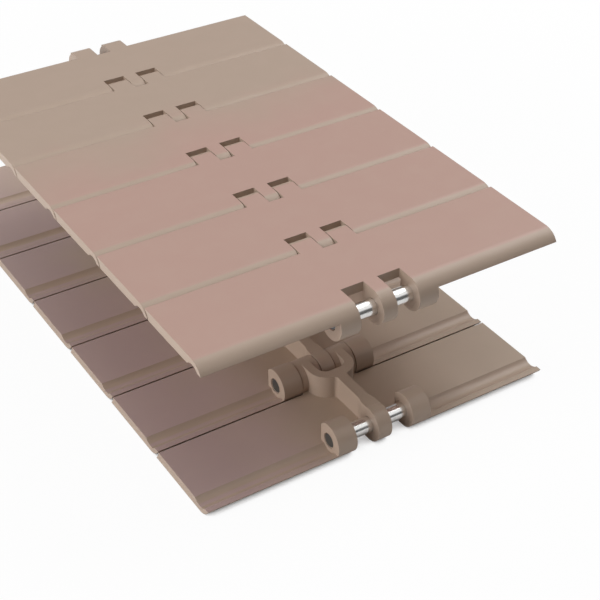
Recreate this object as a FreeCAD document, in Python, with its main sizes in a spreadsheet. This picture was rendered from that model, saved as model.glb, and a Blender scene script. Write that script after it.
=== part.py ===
import FreeCAD, Part
import math
import os
import Sketcher

# Single hinge slat top conveyor chain, millimetres, +Z up.
# X runs across the chain, Y along it from the front end to the rear, Z up.
# Two strands of the same chain lie one above the other: the carry strand on top with its
# plates upwards, and the return strand below, upside down on its conveying surface.
# Each slat is modelled once about its own front hinge axis, with its top surface at
# Z = pin_depth, and every slat and pin of the two strands is a placed copy.

os.makedirs("parts", exist_ok=True)
doc = FreeCAD.newDocument("slat_top_chain")

SIZES = [
    ("pitch", 38.1, "hinge axis to hinge axis"),
    ("slat_width", 152.4, "plate, end to end"),
    ("plate_thickness", 4.0, "plate"),
    ("pin_depth", 7.1, "conveying surface down to the hinge axis, also the radius of lip and front knuckles"),
    ("top_gap", 1.45, "lip to the rear face of the slat in front, at the top"),
    ("low_gap", 0.65, "the same gap at the underside"),
    ("notch_gap", 2.25, "centre knuckle to the notch in the slat in front"),
    ("trough_radius", 4.7, "hollow under the lip"),
    ("trough_lead", 0.4, "centre of the hollow ahead of the hinge axis"),
    ("hinge_width", 42.0, "outside faces of the outer front knuckles"),
    ("centre_knuckle_width", 6.0, "centre front knuckle"),
    ("slot_width", 9.7, "each slot between two front knuckles"),
    ("slot_reach", 6.35, "hinge axis to the rear wall of the slots"),
    ("knuckle_back", 5.2, "hinge axis to the flat back of the front knuckles"),
    ("knuckle_corner", 2.0, "round under the back of the front knuckles"),
    ("side_gap", 0.3, "each side of a rear knuckle in its slot"),
    ("rear_knuckle_radius", 6.8, "rear knuckles"),
    ("tongue_flat", 2.0, "flat top of a rear knuckle's tongue, behind the hinge axis"),
    ("tongue_reach", 3.8, "end of the tongue behind the hinge axis"),
    ("tongue_drop", 0.65, "end of the tongue below the conveying surface"),
    ("pin_diameter", 6.35, "hinge pin"),
    ("running_clearance", 0.075, "radial, pin in the bores that turn on it"),
    ("pin_recess", 0.3, "pin end below the outer face of its knuckle"),
    ("pin_bevel", 0.4, "bevel round each end of the pin"),
    ("rib_start", 1.0, "start of the rib inside the centre knuckle, behind the hinge axis"),
    ("rib_width", 4.4, "centre rib"),
    ("rib_flare", 2.8, "length over which the rib widens to the centre knuckle"),
    ("arm_inside", 6.0, "centre plane to the inner wall of a fork arm"),
    ("arm_outside", 9.65, "centre plane to the outer wall of a fork arm"),
    ("fork_depth", 10.4, "rear hinge axis to the bottom of the fork"),
    ("web_thickness", 4.45, "web between the rib and the bottom of the fork"),
    ("fork_corner", 4.0, "inside corners of the fork"),
    ("web_corner", 8.35, "outside corners of the fork"),
    ("web_fillet", 1.5, "rib to web"),
    ("strand_height", 69.0, "over both strands, conveying surface to conveying surface"),
    ("carry_count", 6, "slats in the carry strand"),
    ("return_count", 7, "slats in the return strand"),
]

sheet = doc.addObject("Spreadsheet::Sheet", "Sizes")
for row, (alias, value, meaning) in enumerate(SIZES, 1):
    sheet.set("A%d" % row, meaning)
    sheet.set("B%d" % row, str(value))
    sheet.setAlias("B%d" % row, alias)
doc.recompute()

VERTICAL_AXIS = -2
HORIZONTAL_AXIS = -1
START, END, CENTRE = 1, 2, 3
SMOOTH = "smooth"


def size(alias):
    """Value of one driving dimension."""
    return float(getattr(sheet, alias))


def plane(body, role):
    """One of a body's own origin planes."""
    for feature in body.Origin.OriginFeatures:
        if feature.Role == role:
            return feature
    raise RuntimeError("no plane " + role)


def new_sketch(body, name, role):
    """Empty sketch on an origin plane of the body."""
    sketch = body.newObject("Sketcher::SketchObject", name)
    sketch.AttachmentSupport = (plane(body, role), [""])
    sketch.MapMode = "FlatFace"
    return sketch


def line(sketch, first, last):
    """Straight edge between two points of the sketch."""
    return sketch.addGeometry(
        Part.LineSegment(FreeCAD.Vector(*first, 0), FreeCAD.Vector(*last, 0)))


def arc(sketch, centre, first, last):
    """Arc that runs anticlockwise about its centre from one point to another."""
    radius = math.dist(centre, first)
    begin = math.atan2(first[1] - centre[1], first[0] - centre[0])
    finish = math.atan2(last[1] - centre[1], last[0] - centre[0])
    if finish < begin:
        finish += 2 * math.pi
    circle = Part.Circle(FreeCAD.Vector(*centre, 0), FreeCAD.Vector(0, 0, 1), radius)
    return sketch.addGeometry(Part.ArcOfCircle(circle, begin, finish))


def join(sketch, chain):
    """Joins edges in a closed chain, each given as (edge, first end, last end).

    A fourth entry, SMOOTH, makes the edge tangent to the next one where they meet.
    """
    for here, there in zip(chain, chain[1:] + chain[:1]):
        kind = "Tangent" if SMOOTH in here[3:] else "Coincident"
        sketch.addConstraint(Sketcher.Constraint(kind, here[0], here[2], there[0], there[1]))


def rule(sketch, kind, *where):
    """Geometric constraint without a dimension."""
    sketch.addConstraint(Sketcher.Constraint(kind, *where))


def dimension(sketch, name, kind, *where, value, formula):
    """Dimension that follows a formula of the sheet."""
    index = sketch.addConstraint(Sketcher.Constraint(kind, *where, value))
    sketch.renameConstraint(index, name)
    sketch.setExpression("Constraints." + name, formula)


def from_origin(sketch, name, direction, edge, end, value, formula):
    """Distance of a point from the origin along one axis of the sketch."""
    dimension(sketch, name, direction, -1, 1, edge, end, value=value, formula=formula)


def feature(body, kind, name, sketch, **settings):
    """Sketch-based feature of the body; settings that are text are formulas of the sheet."""
    made = body.newObject("PartDesign::" + kind, name)
    made.Profile = sketch
    for key, value in settings.items():
        if isinstance(value, str):
            made.setExpression(key, value)
        else:
            setattr(made, key, value)
    doc.recompute()
    return made


def across(height, radius):
    """Half chord of a circle at a height above its centre."""
    return math.sqrt(radius * radius - height * height)


pitch = size("pitch")
pin_depth = size("pin_depth")
underside = pin_depth - size("plate_thickness")
rear_radius = pin_depth + size("top_gap")
rear_low_radius = pin_depth + size("low_gap")
knuckle = size("rear_knuckle_radius")
half_centre = size("centre_knuckle_width") / 2

slat = doc.addObject("PartDesign::Body", "slat")

# Plate: side profile with lip, hollow under the lip and concave rear face.
profile = new_sketch(slat, "plate_profile", "YZ_Plane")
trough = size("trough_radius")
lead = size("trough_lead")
lip_top = (0, pin_depth)
rear_top = (pitch - across(pin_depth, rear_radius), pin_depth)
rear_low = (pitch - across(underside, rear_low_radius), underside)
bow = ((rear_top[0] + rear_low[0]) / 2
       + (pin_depth ** 2 - underside ** 2) / (2 * (rear_top[0] - rear_low[0])))
trough_back = (across(underside, trough) - lead, underside)
trough_front = (-across(underside, trough) - lead, underside)
lip_tip = (-across(underside, pin_depth), underside)
top_edge = line(profile, lip_top, rear_top)
rear_face = arc(profile, (bow, 0), rear_top, rear_low)
under_edge = line(profile, rear_low, trough_back)
hollow = arc(profile, (-lead, 0), trough_back, trough_front)
tip_edge = line(profile, trough_front, lip_tip)
lip = arc(profile, (0, 0), lip_top, lip_tip)
join(profile, [(top_edge, START, END), (rear_face, START, END), (under_edge, START, END),
               (hollow, START, END), (tip_edge, START, END), (lip, END, START)])
rule(profile, "Coincident", lip, CENTRE, HORIZONTAL_AXIS, 1)
rule(profile, "PointOnObject", hollow, CENTRE, HORIZONTAL_AXIS)
rule(profile, "PointOnObject", rear_face, CENTRE, HORIZONTAL_AXIS)
rule(profile, "PointOnObject", lip, START, VERTICAL_AXIS)
rule(profile, "Horizontal", top_edge)
rule(profile, "Horizontal", under_edge)
rule(profile, "Horizontal", tip_edge)
dimension(profile, "lip_radius", "Radius", lip, value=pin_depth, formula="Sizes.pin_depth")
dimension(profile, "hollow_radius", "Radius", hollow, value=trough, formula="Sizes.trough_radius")
from_origin(profile, "hollow_lead", "DistanceX", hollow, CENTRE, -lead, "-Sizes.trough_lead")
from_origin(profile, "rear_top", "DistanceX", rear_face, START, rear_top[0],
            "Sizes.pitch - sqrt((Sizes.pin_depth + Sizes.top_gap)^2 - Sizes.pin_depth^2)")
from_origin(profile, "rear_low", "DistanceX", rear_face, END, rear_low[0],
            "Sizes.pitch - sqrt((Sizes.pin_depth + Sizes.low_gap)^2"
            " - (Sizes.pin_depth - Sizes.plate_thickness)^2)")
from_origin(profile, "underside", "DistanceY", under_edge, START, underside,
            "Sizes.pin_depth - Sizes.plate_thickness")
from_origin(profile, "tip", "DistanceY", tip_edge, END, underside,
            "Sizes.pin_depth - Sizes.plate_thickness")
feature(slat, "Pad", "plate", profile, Midplane=True, Length="Sizes.slat_width")

# Front knuckles: one barrel as wide as the hinge, flat at the back, which the slots divide.
barrel = new_sketch(slat, "front_barrel", "YZ_Plane")
back = size("knuckle_back")
corner = size("knuckle_corner")
corner_centre = (back - corner, -across(back - corner, pin_depth - corner))
turn = pin_depth / (pin_depth - corner)
corner_start = (corner_centre[0] * turn, corner_centre[1] * turn)
corner_end = (back, corner_centre[1])
front_round = arc(barrel, (0, 0), lip_top, corner_start)
back_round = arc(barrel, corner_centre, corner_start, corner_end)
back_edge = line(barrel, corner_end, (back, pin_depth))
roof_edge = line(barrel, (back, pin_depth), lip_top)
join(barrel, [(front_round, START, END, SMOOTH), (back_round, START, END, SMOOTH),
              (back_edge, START, END), (roof_edge, START, END)])
rule(barrel, "Coincident", front_round, CENTRE, HORIZONTAL_AXIS, 1)
rule(barrel, "PointOnObject", front_round, START, VERTICAL_AXIS)
rule(barrel, "Vertical", back_edge)
rule(barrel, "Horizontal", roof_edge)
dimension(barrel, "barrel_radius", "Radius", front_round, value=pin_depth, formula="Sizes.pin_depth")
dimension(barrel, "corner_radius", "Radius", back_round, value=corner, formula="Sizes.knuckle_corner")
from_origin(barrel, "back", "DistanceX", back_edge, END, back, "Sizes.knuckle_back")
feature(slat, "Pad", "front_knuckles", barrel, Midplane=True, Length="Sizes.hinge_width")

# Slots for the rear knuckles of the slat in front, cut through plate and barrel.
slots = new_sketch(slat, "slot_outlines", "XY_Plane")
slot_back = size("slot_reach")
slot_front = -rear_radius
slot_inner = half_centre
slot_outer = half_centre + size("slot_width")
for side, name in ((1, "right"), (-1, "left")):
    near = (side * slot_inner, slot_front)
    far = (side * slot_outer, slot_back)
    front_edge = line(slots, near, (far[0], near[1]))
    outer_edge = line(slots, (far[0], near[1]), far)
    wall_edge = line(slots, far, (near[0], far[1]))
    inner_edge = line(slots, (near[0], far[1]), near)
    join(slots, [(front_edge, START, END), (outer_edge, START, END), (wall_edge, START, END),
                 (inner_edge, START, END)])
    rule(slots, "Horizontal", front_edge)
    rule(slots, "Horizontal", wall_edge)
    rule(slots, "Vertical", outer_edge)
    rule(slots, "Vertical", inner_edge)
    from_origin(slots, name + "_inner", "DistanceX", inner_edge, START, near[0],
                "%d * Sizes.centre_knuckle_width / 2" % side)
    from_origin(slots, name + "_outer", "DistanceX", outer_edge, START, far[0],
                "%d * (Sizes.centre_knuckle_width / 2 + Sizes.slot_width)" % side)
    from_origin(slots, name + "_wall", "DistanceY", wall_edge, START, slot_back, "Sizes.slot_reach")
    from_origin(slots, name + "_front", "DistanceY", front_edge, START, slot_front,
                "-Sizes.pin_depth - Sizes.top_gap")
feature(slat, "Pocket", "slots", slots, Midplane=True, Type=1)

# Rear knuckles, each with a tongue at plate level that fills the slot of the next slat.
tongue = new_sketch(slat, "tongue_profile", "YZ_Plane")
root = pitch - rear_radius - size("plate_thickness")
flat_end = (pitch + size("tongue_flat"), pin_depth)
tongue_end = (pitch + size("tongue_reach"), pin_depth - size("tongue_drop"))
eye_end = (tongue_end[0], across(size("tongue_reach"), knuckle))
throat = (pitch - across(underside, knuckle), underside)
tongue_top = line(tongue, (root, pin_depth), flat_end)
slope = line(tongue, flat_end, tongue_end)
end_edge = line(tongue, tongue_end, eye_end)
eye = arc(tongue, (pitch, 0), throat, eye_end)
tongue_low = line(tongue, throat, (root, underside))
root_edge = line(tongue, (root, underside), (root, pin_depth))
join(tongue, [(tongue_top, START, END), (slope, START, END), (end_edge, START, END), (eye, END, START),
              (tongue_low, START, END), (root_edge, START, END)])
rule(tongue, "PointOnObject", eye, CENTRE, HORIZONTAL_AXIS)
rule(tongue, "Vertical", end_edge)
rule(tongue, "Horizontal", tongue_top)
rule(tongue, "Horizontal", tongue_low)
rule(tongue, "Vertical", root_edge)
dimension(tongue, "eye_radius", "Radius", eye, value=knuckle, formula="Sizes.rear_knuckle_radius")
from_origin(tongue, "pitch", "DistanceX", eye, CENTRE, pitch, "Sizes.pitch")
from_origin(tongue, "top", "DistanceY", tongue_top, END, pin_depth, "Sizes.pin_depth")
from_origin(tongue, "flat", "DistanceX", tongue_top, END, flat_end[0], "Sizes.pitch + Sizes.tongue_flat")
from_origin(tongue, "reach", "DistanceX", slope, END, tongue_end[0], "Sizes.pitch + Sizes.tongue_reach")
from_origin(tongue, "drop", "DistanceY", slope, END, tongue_end[1], "Sizes.pin_depth - Sizes.tongue_drop")
from_origin(tongue, "low", "DistanceY", tongue_low, START, underside,
            "Sizes.pin_depth - Sizes.plate_thickness")
from_origin(tongue, "root", "DistanceX", root_edge, START, root,
            "Sizes.pitch - Sizes.pin_depth - Sizes.top_gap - Sizes.plate_thickness")
feature(slat, "Pad", "rear_knuckles", tongue, Midplane=True,
        Length="Sizes.centre_knuckle_width + 2 * Sizes.slot_width - 2 * Sizes.side_gap")

# Gap between the rear knuckles and notch in the plate, for the next slat's centre knuckle.
notch = new_sketch(slat, "notch_outline", "YZ_Plane")
notch_radius = pin_depth + size("notch_gap")
round_notch = notch.addGeometry(
    Part.Circle(FreeCAD.Vector(pitch, 0, 0), FreeCAD.Vector(0, 0, 1), notch_radius))
rule(notch, "PointOnObject", round_notch, CENTRE, HORIZONTAL_AXIS)
from_origin(notch, "pitch", "DistanceX", round_notch, CENTRE, pitch, "Sizes.pitch")
dimension(notch, "notch_radius", "Radius", round_notch, value=notch_radius,
          formula="Sizes.pin_depth + Sizes.notch_gap")
feature(slat, "Pocket", "centre_notch", notch, Midplane=True,
        Length="Sizes.centre_knuckle_width + 2 * Sizes.side_gap")

# Rib and fork: half the plan outline, padded from the bottom to inside the plate, then
# mirrored. The rib leaves the centre knuckle, and the fork's arms end at the rear knuckles.
plan = new_sketch(slat, "fork_outline", "XY_Plane")
plan.setExpression("AttachmentOffset.Base.z", "-Sizes.rear_knuckle_radius")
half_rib = size("rib_width") / 2
fork_bottom = pitch - size("fork_depth")
web_front = fork_bottom - size("web_thickness")
arm_in = size("arm_inside")
arm_out = size("arm_outside")
fork_corner = size("fork_corner")
web_corner = size("web_corner")
fillet = size("web_fillet")
web_centre = (arm_out - web_corner, web_front + web_corner)
fillet_centre = (half_rib + fillet,
                 web_centre[1] - across(half_rib + fillet - web_centre[0], web_corner + fillet))
share = fillet / (web_corner + fillet)
fillet_end = (fillet_centre[0] + share * (web_centre[0] - fillet_centre[0]),
              fillet_centre[1] + share * (web_centre[1] - fillet_centre[1]))
start = size("rib_start")
points = [(0, start), (half_centre, start), (half_centre, back), (half_rib, back + size("rib_flare")),
          (half_rib, fillet_centre[1]), fillet_end, (arm_out, web_centre[1]), (arm_out, pitch),
          (arm_in, pitch), (arm_in, fork_bottom + fork_corner), (arm_in - fork_corner, fork_bottom),
          (0, fork_bottom)]
nose = line(plan, points[0], points[1])
neck = line(plan, points[1], points[2])
flare = line(plan, points[2], points[3])
rib_side = line(plan, points[3], points[4])
rib_fillet = arc(plan, fillet_centre, fillet_end, points[4])
web_round = arc(plan, web_centre, fillet_end, points[6])
arm_outer = line(plan, points[6], points[7])
arm_end = line(plan, points[7], points[8])
arm_inner = line(plan, points[8], points[9])
fork_round = arc(plan, (arm_in - fork_corner, fork_bottom + fork_corner), points[10], points[9])
fork_edge = line(plan, points[10], points[11])
middle_edge = line(plan, points[11], points[0])
join(plan, [(nose, START, END), (neck, START, END), (flare, START, END),
            (rib_side, START, END, SMOOTH), (rib_fillet, END, START, SMOOTH),
            (web_round, START, END, SMOOTH), (arm_outer, START, END), (arm_end, START, END),
            (arm_inner, START, END, SMOOTH), (fork_round, END, START, SMOOTH),
            (fork_edge, START, END), (middle_edge, START, END)])
for straight in (nose, arm_end, fork_edge):
    rule(plan, "Horizontal", straight)
for straight in (neck, rib_side, arm_outer, arm_inner, middle_edge):
    rule(plan, "Vertical", straight)
rule(plan, "PointOnObject", nose, START, VERTICAL_AXIS)
from_origin(plan, "nose", "DistanceY", nose, START, start, "Sizes.rib_start")
from_origin(plan, "neck", "DistanceX", neck, START, half_centre, "Sizes.centre_knuckle_width / 2")
from_origin(plan, "neck_end", "DistanceY", neck, END, back, "Sizes.knuckle_back")
from_origin(plan, "flare_end", "DistanceY", flare, END, points[3][1],
            "Sizes.knuckle_back + Sizes.rib_flare")
from_origin(plan, "rib", "DistanceX", rib_side, START, half_rib, "Sizes.rib_width / 2")
from_origin(plan, "outside", "DistanceX", arm_outer, START, arm_out, "Sizes.arm_outside")
from_origin(plan, "inside", "DistanceX", arm_inner, START, arm_in, "Sizes.arm_inside")
from_origin(plan, "end", "DistanceY", arm_end, START, pitch, "Sizes.pitch")
from_origin(plan, "bottom", "DistanceY", fork_edge, START, fork_bottom, "Sizes.pitch - Sizes.fork_depth")
from_origin(plan, "web", "DistanceY", web_round, CENTRE, web_centre[1],
            "Sizes.pitch - Sizes.fork_depth - Sizes.web_thickness + Sizes.web_corner")
dimension(plan, "web_corner", "Radius", web_round, value=web_corner, formula="Sizes.web_corner")
dimension(plan, "web_fillet", "Radius", rib_fillet, value=fillet, formula="Sizes.web_fillet")
dimension(plan, "fork_corner", "Radius", fork_round, value=fork_corner, formula="Sizes.fork_corner")
fork = feature(slat, "Pad", "half_fork", plan,
               Length="Sizes.rear_knuckle_radius + Sizes.pin_depth - Sizes.plate_thickness / 2")
both = slat.newObject("PartDesign::Mirrored", "fork")
both.Originals = [fork]
both.MirrorPlane = (plane(slat, "YZ_Plane"), [""])
slat.Tip = both
doc.recompute()


def bore(name, at, radius, radius_formula, at_formula, **settings):
    """Bore across the slat about a hinge axis."""
    sketch = new_sketch(slat, name + "_outline", "YZ_Plane")
    wall = sketch.addGeometry(
        Part.Circle(FreeCAD.Vector(at, 0, 0), FreeCAD.Vector(0, 0, 1), radius))
    if at:
        rule(sketch, "PointOnObject", wall, CENTRE, HORIZONTAL_AXIS)
        from_origin(sketch, "axis", "DistanceX", wall, CENTRE, at, at_formula)
    else:
        rule(sketch, "Coincident", wall, CENTRE, HORIZONTAL_AXIS, 1)
    dimension(sketch, "bore_radius", "Radius", wall, value=radius, formula=radius_formula)
    return feature(slat, "Pocket", name, sketch, Midplane=True, **settings)


# Press bore through all front knuckles, eased in the centre one, and running bore at the rear.
pin_radius = size("pin_diameter") / 2
free_radius = pin_radius + size("running_clearance")
FREE_FORMULA = "Sizes.pin_diameter / 2 + Sizes.running_clearance"
bore("press_bore", 0, pin_radius, "Sizes.pin_diameter / 2", "", Type=1)
bore("centre_bore", 0, free_radius, FREE_FORMULA, "", Length="Sizes.centre_knuckle_width")
bore("rear_bore", pitch, free_radius, FREE_FORMULA, "Sizes.pitch", Type=1)

# Hinge pin: plain round bar along X with bevelled ends.
pin = doc.addObject("PartDesign::Body", "hinge_pin")
section = new_sketch(pin, "pin_section", "YZ_Plane")
bar = section.addGeometry(
    Part.Circle(FreeCAD.Vector(0, 0, 0), FreeCAD.Vector(0, 0, 1), pin_radius))
rule(section, "Coincident", bar, CENTRE, HORIZONTAL_AXIS, 1)
dimension(section, "pin_radius", "Radius", bar, value=pin_radius, formula="Sizes.pin_diameter / 2")
whole_bar = feature(pin, "Pad", "pin_bar", section, Midplane=True,
                    Length="Sizes.hinge_width - 2 * Sizes.pin_recess")
bevel = pin.newObject("PartDesign::Chamfer", "pin_ends")
bevel.Base = (whole_bar, ["Edge%d" % number for number, edge in enumerate(whole_bar.Shape.Edges, 1)
                          if edge.isClosed()])
bevel.setExpression("Size", "Sizes.pin_bevel")
doc.recompute()

# The two strands. The origin is under the middle of the longer strand, on the surface on
# which the return strand lies. The front end of both strands is at -Y.
LONGEST = "max(Sizes.carry_count; Sizes.return_count)"
FRONT_Y = "-(Sizes.pitch * %s + Sizes.rear_knuckle_radius - Sizes.pin_depth) / 2" % LONGEST
UPRIGHT = FreeCAD.Rotation(FreeCAD.Vector(0, 1, 0), 0)
UPSIDE_DOWN = FreeCAD.Rotation(FreeCAD.Vector(0, 1, 0), 180)
STRANDS = [
    ("carry", int(size("carry_count")), UPRIGHT, "Sizes.strand_height - Sizes.pin_depth"),
    ("return", int(size("return_count")), UPSIDE_DOWN, "Sizes.pin_depth"),
]
nodes = []
for strand, count, rotation, axis_height in STRANDS:
    for number in range(1, count + 1):
        for source, piece in ((slat, "slat"), (pin, "pin")):
            copy = doc.addObject("Part::Compound", "%s_%s_%d" % (strand, piece, number))
            copy.Links = [source]
            copy.Placement = FreeCAD.Placement(FreeCAD.Vector(0, 0, 0), rotation)
            copy.setExpression("Placement.Base.y", "%d * Sizes.pitch + %s" % (number - 1, FRONT_Y))
            copy.setExpression("Placement.Base.z", axis_height)
            nodes.append(copy)
doc.recompute()

for made in doc.Objects:
    if "Invalid" in made.State or "Error" in made.State:
        raise RuntimeError("%s did not build: %s" % (made.Label, made.State))
for node in nodes:
    if node.Shape.isNull() or not node.Shape.isValid() or len(node.Shape.Solids) != 1:
        raise RuntimeError("%s is not one valid solid" % node.Label)
for node in nodes:
    node.Shape.exportStep("parts/%s.step" % node.Label)
print("slat volume %.0f mm3, pin volume %.0f mm3" % (slat.Shape.Volume, pin.Shape.Volume))
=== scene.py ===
"""Looks of a slat top chain: finishes of its slats and pins, studio, lights and camera."""

import logging
import math
from dataclasses import dataclass, field
from enum import Enum
from typing import Any

import bpy
from mathutils import Matrix, Vector

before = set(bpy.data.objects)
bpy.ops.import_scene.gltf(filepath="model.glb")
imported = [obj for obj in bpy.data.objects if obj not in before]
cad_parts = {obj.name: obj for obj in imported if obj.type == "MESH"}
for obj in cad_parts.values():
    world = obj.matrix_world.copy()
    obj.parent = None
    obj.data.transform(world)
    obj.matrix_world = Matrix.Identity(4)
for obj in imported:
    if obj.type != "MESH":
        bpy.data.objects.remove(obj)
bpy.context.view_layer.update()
LOG = logging.getLogger("slat_top_chain")
MM = 0.001
WHITE = (1.0, 1.0, 1.0, 1.0)
Colour = tuple[float, float, float, float]
Step = tuple[float, float]


class Strand(Enum):
    """The two stretches of chain, by the first word of their nodes' names."""

    CARRY = "carry"
    RETURN = "return"


@dataclass(frozen=True)
class Value:
    """A socket of a shader whose operators add Math nodes.

    Args:
        nodes: the shader that the socket belongs to.
        socket: the output socket that carries the value.
    """

    nodes: "ShaderNodes"
    socket: Any

    def _math(self, operation: str, *others: Any) -> "Value":
        """Adds a Math node that starts with this value and returns its result."""
        return self.nodes.add("ShaderNodeMath", {"operation": operation}, self, *others)

    def __add__(self, other: Any) -> "Value":
        """This value plus another."""
        return self._math("ADD", other)

    def __sub__(self, other: Any) -> "Value":
        """This value less another."""
        return self._math("SUBTRACT", other)

    def __rsub__(self, other: Any) -> "Value":
        """Another value less this one."""
        return self.nodes.add("ShaderNodeMath", {"operation": "SUBTRACT"}, other, self)

    def __mul__(self, other: Any) -> "Value":
        """This value times another."""
        return self._math("MULTIPLY", other)

    def __truediv__(self, other: Any) -> "Value":
        """This value divided by another."""
        return self._math("DIVIDE", other)

    __radd__ = __add__

    def between(self, low: float, high: float) -> "Value":
        """Smooth step of this value.

        Args:
            low: value at which the step is 0.
            high: value at which the step is 1.

        Returns:
            The step, from 0 to 1.
        """
        settings = {"interpolation_type": "SMOOTHSTEP"}
        return self.nodes.add("ShaderNodeMapRange", settings, self, low, high)


class ShaderNodes:
    """Adds nodes to one material or world."""

    def __init__(self, owner: Any) -> None:
        """Empties the node tree of a material or world.

        Args:
            owner: material or world that the nodes belong to.
        """
        owner.use_nodes = True
        self.tree = owner.node_tree
        self.tree.nodes.clear()

    def add(self, kind: str, settings: dict[str, Any], *inputs: Any, out: int | str = 0) -> Value:
        """Adds one node.

        Args:
            kind: the node's type.
            settings: its properties, set before its sockets.
            *inputs: numbers, colours or values for its first sockets in order; a dict gives
                sockets by name, and None leaves a socket as it is.
            out: the output socket to return.

        Returns:
            The chosen output as a value.
        """
        node = self.tree.nodes.new(kind)
        for key, setting in settings.items():
            setattr(node, key, setting)
        for place, given in enumerate(inputs):
            pairs = given.items() if isinstance(given, dict) else [(place, given)]
            for key, item in pairs:
                self._feed(node.inputs[key], item)
        outputs = [socket for socket in node.outputs if socket.enabled]
        chosen = node.outputs[out] if isinstance(out, str) else outputs[out] if outputs else None
        return Value(self, chosen)

    def _feed(self, socket: Any, item: Any) -> None:
        """Links a value to a socket, or sets the socket's own number or colour."""
        if isinstance(item, Value):
            self.tree.links.new(item.socket, socket)
        elif item is not None:
            socket.default_value = item

    def coordinates(self) -> Value:
        """Object coordinates, in metres, the same on every piece of the chain."""
        return self.add("ShaderNodeTexCoord", {}, out="Object")

    def noise(self, where: Value, size: float, detail: float = 2.0) -> Value:
        """Soft noise.

        Args:
            where: coordinates.
            size: width of one cloud of the noise, in metres.
            detail: octaves.

        Returns:
            The noise, from 0 to 1 about 0.5.
        """
        settings = {"Vector": where, "Scale": 1 / size, "Detail": detail}
        return self.add("ShaderNodeTexNoise", {}, settings, out=0)

    def mix(self, share: Any, first: Any, second: Any) -> Value:
        """Mix of two colours.

        Args:
            share: how much of the second, from 0 to 1.
            first: colour or value at 0.
            second: colour or value at 1.

        Returns:
            The mixed colour.
        """
        node = self.tree.nodes.new("ShaderNodeMix")
        node.data_type = "RGBA"
        self._feed(node.inputs[0], share)
        self._feed(node.inputs[6], first)
        self._feed(node.inputs[7], second)
        return Value(self, node.outputs[2])


def linear(red: int, green: int, blue: int) -> Colour:
    """Colour for a shader.

    Args:
        red: red, 0 to 255, as it shows on a screen.
        green: green, likewise.
        blue: blue, likewise.

    Returns:
        The colour in linear light, with full alpha.
    """
    channels = []
    for shown in (red, green, blue):
        part = shown / 255
        channels.append(part / 12.92 if part <= 0.04045 else ((part + 0.055) / 1.055) ** 2.4)
    return (channels[0], channels[1], channels[2], 1.0)


@dataclass(frozen=True)
class Acetal:
    """Moulded acetal: satin, with a fine mould texture, slight differences of tone and a painted
    sheen on faces that aren't flat.

    Args:
        name: the material's name.
        first_colour: flat faces at the low end of the drift of tone.
        second_colour: flat faces at its high end.
        drift_axis: axis along which the tone drifts.
        drift: where the drift starts and ends, in metres.
        tilted_sheen_colour: painted sheen on faces that aren't flat, such as lips, walls and
            knuckles, standing in for the light along their curves.
        flat_step: square of a normal's Z from which to which a face counts as flat, where the
            painted sheen gives way.
        rub_colour: tone of the flow of the moulding, mixed in here and there.
        rub_share: the most of it that is mixed in.
        roughness: mean roughness.
        roughness_spread: how far the roughness varies.
        refraction: refractive index.
        shine: share of the usual reflection.
        edge_radius: rounding of the edges in the light on them.
        cloud_size: width of the clouds that bend the drift's border.
        cloud_shift: how far they bend it.
        flow_size: width of the flow's clouds.
        flow_step: noise from which to which the flow comes in.
        matt_size: width of the clouds of roughness.
        grain_size: width of the mould texture's grains.
        grain_depth: their depth.
        grain_strength: strength of the texture.
    """

    name: str
    first_colour: Colour
    second_colour: Colour
    drift_axis: str
    drift: Step
    tilted_sheen_colour: Colour = linear(182, 161, 144)
    flat_step: Step = (0.93, 0.995)
    rub_colour: Colour = linear(198, 176, 162)
    rub_share: float = 0.08
    roughness: float = 0.36
    roughness_spread: float = 0.16
    refraction: float = 1.48
    shine: float = 0.4
    edge_radius: float = 0.2 * MM
    cloud_size: float = 45 * MM
    cloud_shift: float = 70 * MM
    flow_size: float = 9 * MM
    flow_step: Step = (0.35, 0.75)
    matt_size: float = 14 * MM
    grain_size: float = 0.35 * MM
    grain_depth: float = 0.05 * MM
    grain_strength: float = 0.12

    def material(self) -> bpy.types.Material:
        """Builds the material.

        Returns:
            The finished material.
        """
        made = bpy.data.materials.new(self.name)
        nodes = ShaderNodes(made)
        where = nodes.coordinates()
        along = nodes.add("ShaderNodeSeparateXYZ", {}, where, out=self.drift_axis)
        clouds = nodes.noise(where, self.cloud_size)
        share = (along + (clouds - 0.5) * self.cloud_shift).between(*self.drift)
        flat = nodes.mix(share, self.first_colour, self.second_colour)
        facing = nodes.add("ShaderNodeTexCoord", {}, out="Normal")
        upright = nodes.add("ShaderNodeSeparateXYZ", {}, facing, out="Z")
        # Painted sheen: faces that aren't flat take a colour standing in for the light along
        # lips, walls and knuckles.
        flatness = (upright * upright).between(*self.flat_step)
        base = nodes.mix(flatness, self.tilted_sheen_colour, flat)
        flow = nodes.noise(where, self.flow_size, detail=4).between(*self.flow_step)
        base = nodes.mix(flow * self.rub_share, base, self.rub_colour)
        grain = nodes.noise(where, self.grain_size, detail=3)
        matt = nodes.noise(where, self.matt_size, detail=5)
        rounded = nodes.add("ShaderNodeBevel", {"samples": 6}, self.edge_radius)
        bumped = nodes.add("ShaderNodeBump", {}, {
            "Strength": self.grain_strength, "Distance": self.grain_depth,
            "Height": grain, "Normal": rounded})
        shader = nodes.add("ShaderNodeBsdfPrincipled", {}, {
            "Base Color": base,
            "Roughness": self.roughness + (matt - 0.5) * self.roughness_spread,
            "Normal": bumped, "IOR": self.refraction, "Specular IOR Level": self.shine})
        nodes.add("ShaderNodeOutputMaterial", {}, {"Surface": shader})
        return made


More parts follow.
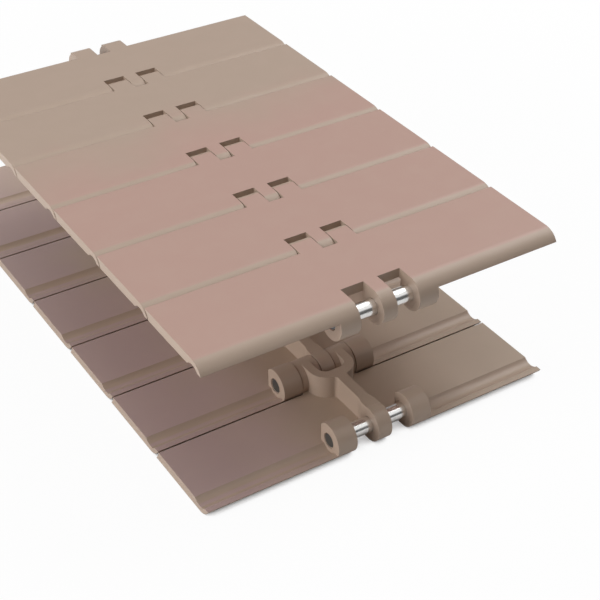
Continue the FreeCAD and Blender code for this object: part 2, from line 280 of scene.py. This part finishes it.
@dataclass(frozen=True)
class Stainless:
    """Drawn stainless bar: bright, with fine lines round it and dull cut ends, whose colour is
    painted dark as shade in the bores they sit in.

    Args:
        name: the material's name.
        colour: tone of the bright bar.
        worn_colour: tone of its worn spots.
        worn_share: the most of it that is mixed in.
        worn_size: width of the worn spots.
        worn_step: noise from which to which a spot comes in.
        shaded_end_colour: painted shade on the cut ends, standing in for the shade of the bores
            they are sunk in.
        end_step: square of a normal's X from which to which a face counts as an end.
        end_roughness: what an end is rougher by.
        roughness: mean roughness of the bar.
        roughness_spread: how far its lines vary it.
        line_width: width of the lines.
        line_depth: their depth.
        line_strength: strength of the lines in the light.
    """

    name: str = "bright_stainless"
    colour: Colour = linear(232, 231, 229)
    worn_colour: Colour = linear(205, 203, 200)
    worn_share: float = 0.25
    worn_size: float = 1.2 * MM
    worn_step: Step = (0.4, 0.75)
    shaded_end_colour: Colour = linear(128, 134, 136)
    end_step: Step = (0.7, 0.95)
    end_roughness: float = 0.2
    roughness: float = 0.20
    roughness_spread: float = 0.12
    line_width: float = 0.10 * MM
    line_depth: float = 0.02 * MM
    line_strength: float = 0.08

    def material(self) -> bpy.types.Material:
        """Builds the material.

        Returns:
            The finished material.
        """
        made = bpy.data.materials.new(self.name)
        nodes = ShaderNodes(made)
        where = nodes.coordinates()
        across = nodes.add("ShaderNodeSeparateXYZ", {}, where, out="X")
        lines = nodes.add("ShaderNodeTexNoise", {"noise_dimensions": "1D"}, {
            "W": across / self.line_width, "Scale": 1.0, "Detail": 2.0})
        worn = nodes.noise(where, self.worn_size, detail=3).between(*self.worn_step)
        tone = nodes.mix(worn * self.worn_share, self.colour, self.worn_colour)
        facing = nodes.add("ShaderNodeTexCoord", {}, out="Normal")
        endwise = nodes.add("ShaderNodeSeparateXYZ", {}, facing, out="X")
        # Painted shade: the ends turn dark grey, as the shade in their recessed bores. Their
        # added roughness is their real dull cut finish.
        cut = (endwise * endwise).between(*self.end_step)
        tone = nodes.mix(cut, tone, self.shaded_end_colour)
        bumped = nodes.add("ShaderNodeBump", {}, {
            "Strength": self.line_strength, "Distance": self.line_depth, "Height": lines})
        shader = nodes.add("ShaderNodeBsdfPrincipled", {}, {
            "Base Color": tone, "Metallic": 1.0, "Normal": bumped,
            "Roughness": (self.roughness + (lines - 0.5) * self.roughness_spread
                          + cut * self.end_roughness)})
        nodes.add("ShaderNodeOutputMaterial", {}, {"Surface": shader})
        return made


@dataclass
class ChainStrand:
    """One stretch of chain, whose slats and pins get their finishes.

    Args:
        strand: which stretch it is.
        acetal: material of the slats.
        stainless: material of the pins.
        slat_word: word in the name of each slat's node.
    """

    strand: Strand
    acetal: bpy.types.Material
    stainless: bpy.types.Material
    slat_word: str = "slat"

    def dress(self) -> int:
        """Gives each node of the strand its material.

        Returns:
            How many nodes were dressed.
        """
        count = 0
        for name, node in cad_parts.items():
            if not name.startswith(self.strand.value):
                continue
            chosen = self.acetal if self.slat_word in name else self.stainless
            node.data.materials.clear()
            node.data.materials.append(chosen)
            LOG.info("%s: %s", name, chosen.name)
            count += 1
        return count


@dataclass(frozen=True)
class Softbox:
    """Square lamp that points at the chain.

    Args:
        name: the lamp's name.
        direction: from the chain towards the lamp.
        power: its power, in watts.
        size: its side, in metres.
        distance: from the origin to the lamp, in metres.
    """

    name: str
    direction: tuple[float, float, float]
    power: float
    size: float = 0.9
    distance: float = 1.3

    def build(self) -> None:
        """Adds the lamp."""
        data = bpy.data.lights.new(self.name, "AREA")
        data.energy = self.power
        data.size = self.size
        lamp = bpy.data.objects.new(self.name, data)
        bpy.context.collection.objects.link(lamp)
        away = Vector(self.direction).normalized()
        lamp.location = away * self.distance
        lamp.rotation_euler = away.to_track_quat("Z", "Y").to_euler()


@dataclass
class Studio:
    """Plain white floor and background, in soft light from above and from both sides.

    Args:
        floor_half: half the floor's side, in metres.
        floor_fade: distance from which the floor turns into the background.
        floor_colour: paint of the floor.
        floor_glow: how much of the floor shows as white, whatever its shadow.
        gap_reach: how far off a piece still shuts the floor in.
        gap_sky: share of open sky from which to which the floor shows as white.
        sky_level: light of the sky overhead.
        front_shine: brightness of the wall in front of the chain, as its surfaces mirror it.
        front_top: height, as a direction's Z, over which that wall ends.
        back_shine: brightness of the walls beside and behind it, likewise.
        back_top: height over which they end.
        front_side: a direction's Y from which to which the front wall gives way to them.
        lamps: the softboxes.
    """

    floor_half: float = 0.42
    floor_fade: float = 0.22
    floor_colour: Colour = linear(245, 245, 245)
    floor_glow: float = 0.95
    gap_reach: float = 12 * MM
    gap_sky: Step = (0.15, 0.35)
    sky_level: float = 0.50
    front_shine: float = 0.12
    front_top: Step = (0.35, 0.6)
    back_shine: float = 0.35
    back_top: Step = (0.45, 0.75)
    front_side: Step = (-0.5, 0.1)
    lamps: tuple[Softbox, ...] = (
        Softbox("lamp_above", (0.05, 0.1, 0.97), 2.5),
        Softbox("lamp_right", (1.0, 0.1, 0.95), 7.8),
        Softbox("lamp_left", (-1.0, 0.0, 0.18), 9.6),
        Softbox("lamp_upper_left", (-0.85, 0.0, 0.70), 4.6),
    )

    def build(self) -> None:
        """Builds the floor, the world and the lamps."""
        self._floor()
        self._world()
        for lamp in self.lamps:
            lamp.build()

    def _floor(self) -> None:
        """Adds the floor, which shows white to the camera and keeps the chain's shadow."""
        bpy.ops.object.select_all(action="DESELECT")
        bpy.ops.mesh.primitive_plane_add(size=2 * self.floor_half, location=(0, 0, 0))
        floor = bpy.context.active_object
        floor.name = "floor"
        made = bpy.data.materials.new("white_floor")
        nodes = ShaderNodes(made)
        paint = nodes.add("ShaderNodeBsdfDiffuse", {}, {"Color": self.floor_colour})
        glow = nodes.add("ShaderNodeEmission", {}, {"Color": WHITE, "Strength": 1.0})
        seen = nodes.add("ShaderNodeLightPath", {}, out="Is Camera Ray")
        where = nodes.coordinates()
        reach = nodes.add("ShaderNodeVectorMath", {"operation": "LENGTH"}, where, out="Value")
        fade = reach.between(self.floor_fade, self.floor_half)
        glowing = self.floor_glow + fade * (1 - self.floor_glow)
        share = glowing * self._open_floor(nodes)
        surface = nodes.add("ShaderNodeMixShader", {}, seen * share, paint, glow)
        nodes.add("ShaderNodeOutputMaterial", {}, {"Surface": surface})
        floor.data.materials.append(made)

    def _open_floor(self, nodes: ShaderNodes) -> Value:
        """Tells the open floor from the floor in the chain's gaps, at whatever pose.

        Args:
            nodes: the floor's nodes.

        Returns:
            1 where the floor lies open and 0 where the chain shuts it in.
        """
        reach = {"Distance": self.gap_reach}
        sky = nodes.add("ShaderNodeAmbientOcclusion", {"samples": 8}, reach, out="AO")
        return sky.between(*self.gap_sky)

    def _world(self) -> None:
        """Lights the chain from above, and shows white behind it and in its metal."""
        world = bpy.data.worlds.new("studio")
        bpy.context.scene.world = world
        nodes = ShaderNodes(world)
        seen = nodes.add("ShaderNodeLightPath", {}, out="Is Camera Ray")
        glossy = nodes.add("ShaderNodeLightPath", {}, out="Is Glossy Ray")
        towards = nodes.add("ShaderNodeTexCoord", {}, out="Generated")
        ahead = nodes.add("ShaderNodeSeparateXYZ", {}, towards, out="Y")
        up = nodes.add("ShaderNodeSeparateXYZ", {}, towards, out="Z")
        light = up * up * self.sky_level
        behind = ahead.between(*self.front_side)
        front_wall = (1 - up.between(*self.front_top)) * (1 - behind)
        back_wall = (1 - up.between(*self.back_top)) * behind
        shine = 1 - front_wall * (1 - self.front_shine) - back_wall * (1 - self.back_shine)
        level = seen + (1 - seen) * (glossy * shine + (1 - glossy) * light)
        sky = nodes.add("ShaderNodeBackground", {}, {"Color": WHITE, "Strength": level})
        nodes.add("ShaderNodeOutputWorld", {}, {"Surface": sky})


@dataclass
class ProductCamera:
    """The photograph's viewpoint: from the front left and above, through a long lens.

    Args:
        position: where the camera is, in metres.
        target: the point in the middle of the picture.
        roll: its turn about its own axis, in radians.
        lens: focal length, in millimetres.
        sensor: the sensor's width, in millimetres.
        clip_start: nearest distance that it sees, in metres.
    """

    position: Vector = field(default_factory=lambda: Vector((-242.99, -465.20, 357.16)) * MM)
    target: Vector = field(default_factory=lambda: Vector((-2.38, -83.75, 34.5)) * MM)
    roll: float = math.radians(-0.04)
    lens: float = 85.12
    sensor: float = 36.0
    clip_start: float = 10 * MM

    def build(self) -> None:
        """Adds the camera and makes it the scene's own."""
        data = bpy.data.cameras.new("camera")
        data.lens = self.lens
        data.sensor_width = self.sensor
        data.clip_start = self.clip_start
        camera = bpy.data.objects.new("camera", data)
        bpy.context.collection.objects.link(camera)
        aim = (self.target - self.position).to_track_quat("-Z", "Y").to_matrix().to_4x4()
        roll = Matrix.Rotation(self.roll, 4, "Z")
        camera.matrix_world = Matrix.Translation(self.position) @ aim @ roll
        bpy.context.scene.camera = camera


def main() -> None:
    """Builds the camera, the studio and the two strands."""
    logging.basicConfig(level=logging.INFO, format="%(name)s %(message)s")
    bpy.context.scene.view_settings.view_transform = "Standard"
    ProductCamera().build()
    Studio().build()
    stainless = Stainless().material()
    acetals = {
        Strand.CARRY: Acetal(
            name="carry_acetal", first_colour=linear(188, 155, 143),
            second_colour=linear(181, 160, 144), drift_axis="Y", drift=(-25 * MM, 25 * MM)),
        Strand.RETURN: Acetal(
            name="return_acetal", first_colour=linear(184, 160, 156),
            second_colour=linear(182, 163, 145), drift_axis="X", drift=(-60 * MM, -15 * MM)),
    }
    for strand, acetal in acetals.items():
        dressed = ChainStrand(strand, acetal.material(), stainless).dress()
        LOG.info("%s strand: %d nodes", strand.value, dressed)


if __name__ == "__main__":
    main()
